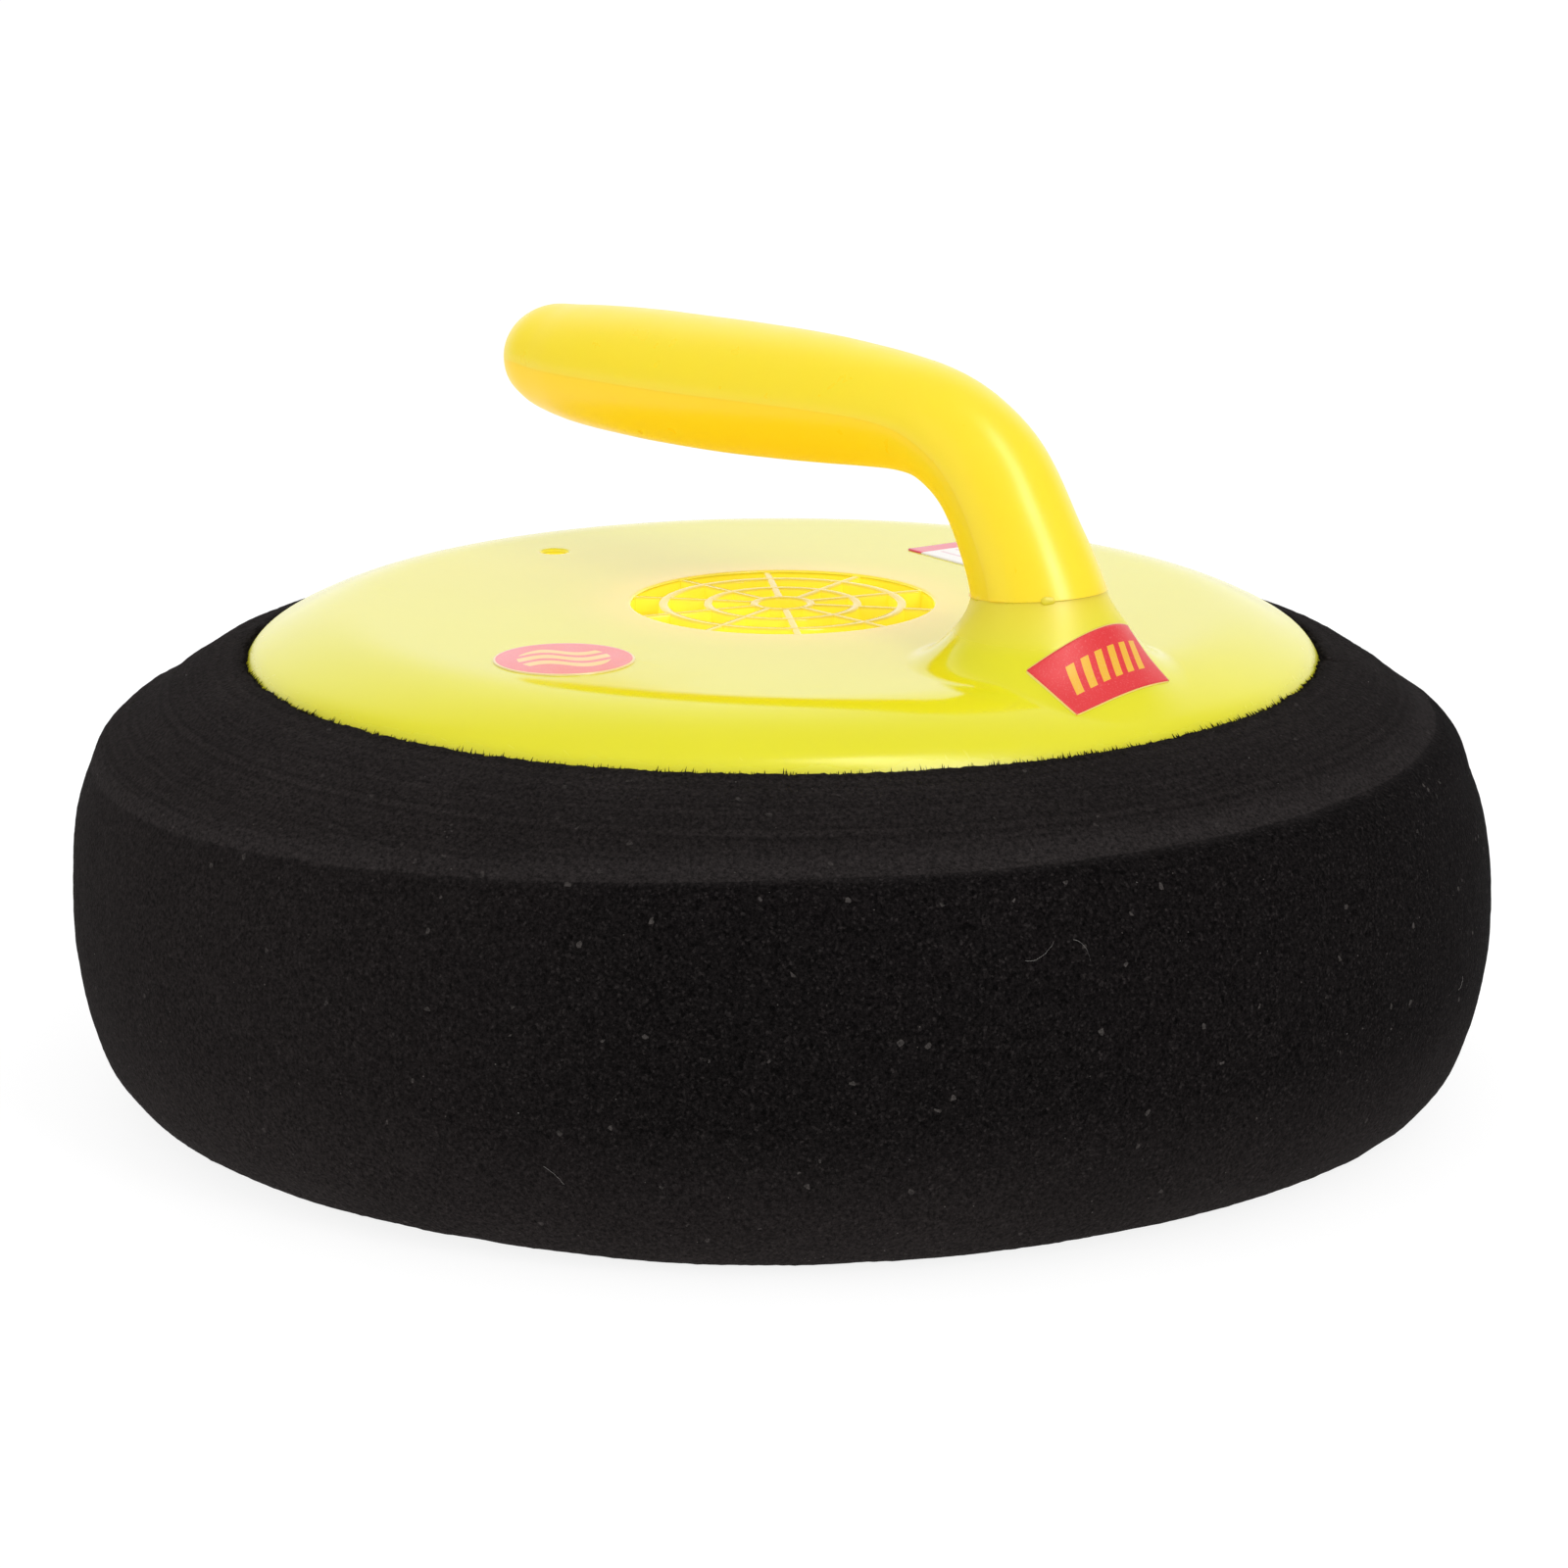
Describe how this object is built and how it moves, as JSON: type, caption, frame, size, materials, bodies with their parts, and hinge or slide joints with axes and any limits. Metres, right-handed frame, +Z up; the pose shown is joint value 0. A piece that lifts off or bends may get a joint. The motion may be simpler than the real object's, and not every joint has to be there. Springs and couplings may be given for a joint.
{
  "type": "hover curling stone",
  "caption": "Indoor air-cushion curling stone: foam bumper ring, domed cover with round intake grille, gooseneck handle, fan and battery base.",
  "frame": {"origin": "centre of the underside, on the floor", "axes": "+Z up through the fan's axis; +X from the fan's axis towards the handle's pedestal; the grip runs towards -X"},
  "size_m": [0.2, 0.2, 0.1068],
  "materials": {
    "lemon_plastic": "glossy, slightly translucent",
    "lemon_plastic_base": "satin to glossy",
    "black_foam": "sanded closed-cell foam, matt",
    "golden_plastic": "satin gloss, slightly translucent",
    "golden_plastic_inner": "satin gloss, slightly translucent",
    "golden_plastic_plug": "moulded",
    "screw_steel": "zinc plated",
    "label_red": "printed film, satin",
    "label_pink": "printed film, satin",
    "label_white": "printed film, satin",
    "fan_plastic": "moulded, slightly translucent",
    "motor_steel": "zinc plated",
    "motor_nylon": "moulded nylon",
    "magnet": "sintered ferrite",
    "bush_bronze": "sintered bronze",
    "shaft_steel": "ground",
    "rotor_copper": "lacquered copper on laminated steel",
    "tab_brass": "stamped",
    "bracket_steel": "stamped, zinc plated",
    "deck_plastic": "moulded",
    "cell_jacket": "printed jacket with bare ends",
    "contact_nickel": "nickel plated spring steel",
    "switch_steel": "stamped",
    "switch_board": "phenolic board",
    "switch_black": "moulded",
    "slider_black": "moulded, fine texture",
    "lamp": "clear red lamp",
    "wire_red": "insulation",
    "wire_black": "insulation",
    "wire_blue": "insulation"
  },
  "bodies": {
    "stone": {"top_cover": "lemon_plastic", "base_shell": "lemon_plastic_base", "foam_bumper": "black_foam", "handle_outer_shell": "golden_plastic", "handle_inner_shell": "golden_plastic_inner", "handle_plug": "golden_plastic_plug", "handle_screw": "screw_steel", "side_label": "label_red", "round_label": "label_pink", "rear_label": "label_white", "motor_can": "motor_steel", "motor_end_cap": "motor_nylon", "motor_magnets": "magnet", "motor_bushes": "bush_bronze", "motor_terminals": "tab_brass", "motor_bracket": "bracket_steel", "motor_bracket_screws": "screw_steel", "fan_deck": "deck_plastic", "deck_screws": "screw_steel", "housing_screws": "screw_steel", "battery_cells": "cell_jacket", "contact_plates": "contact_nickel", "contact_springs": "contact_nickel", "switch_frame": "switch_steel", "switch_base": "switch_board", "switch_terminals": "tab_brass", "switch_screws": "screw_steel", "indicator_led": "lamp", "wire_red": "wire_red", "wire_black": "wire_black", "led_wires": "wire_blue"},
    "fan": {"impeller": "fan_plastic", "motor_shaft": "shaft_steel", "motor_rotor": "rotor_copper"},
    "slider": {"switch_slider": "slider_black", "switch_lever": "switch_black"},
    "battery_lid": {"battery_door": "lemon_plastic_base", "battery_door_screws": "screw_steel"}
  },
  "joints": [
    {"name": "fan_spin", "type": "hinge", "parent": "stone", "child": "fan", "pos_m": [0, 0, 0.05], "axis": [0, 0, 1], "continuous": true},
    {"name": "power_switch", "type": "slide", "parent": "stone", "child": "slider", "axis": [0, 1, 0], "range_m": [0, 0.004]},
    {"name": "battery_lid_lift", "type": "slide", "parent": "stone", "child": "battery_lid", "axis": [0, 0, -1], "range_m": [0, 0.03]}
  ]
}
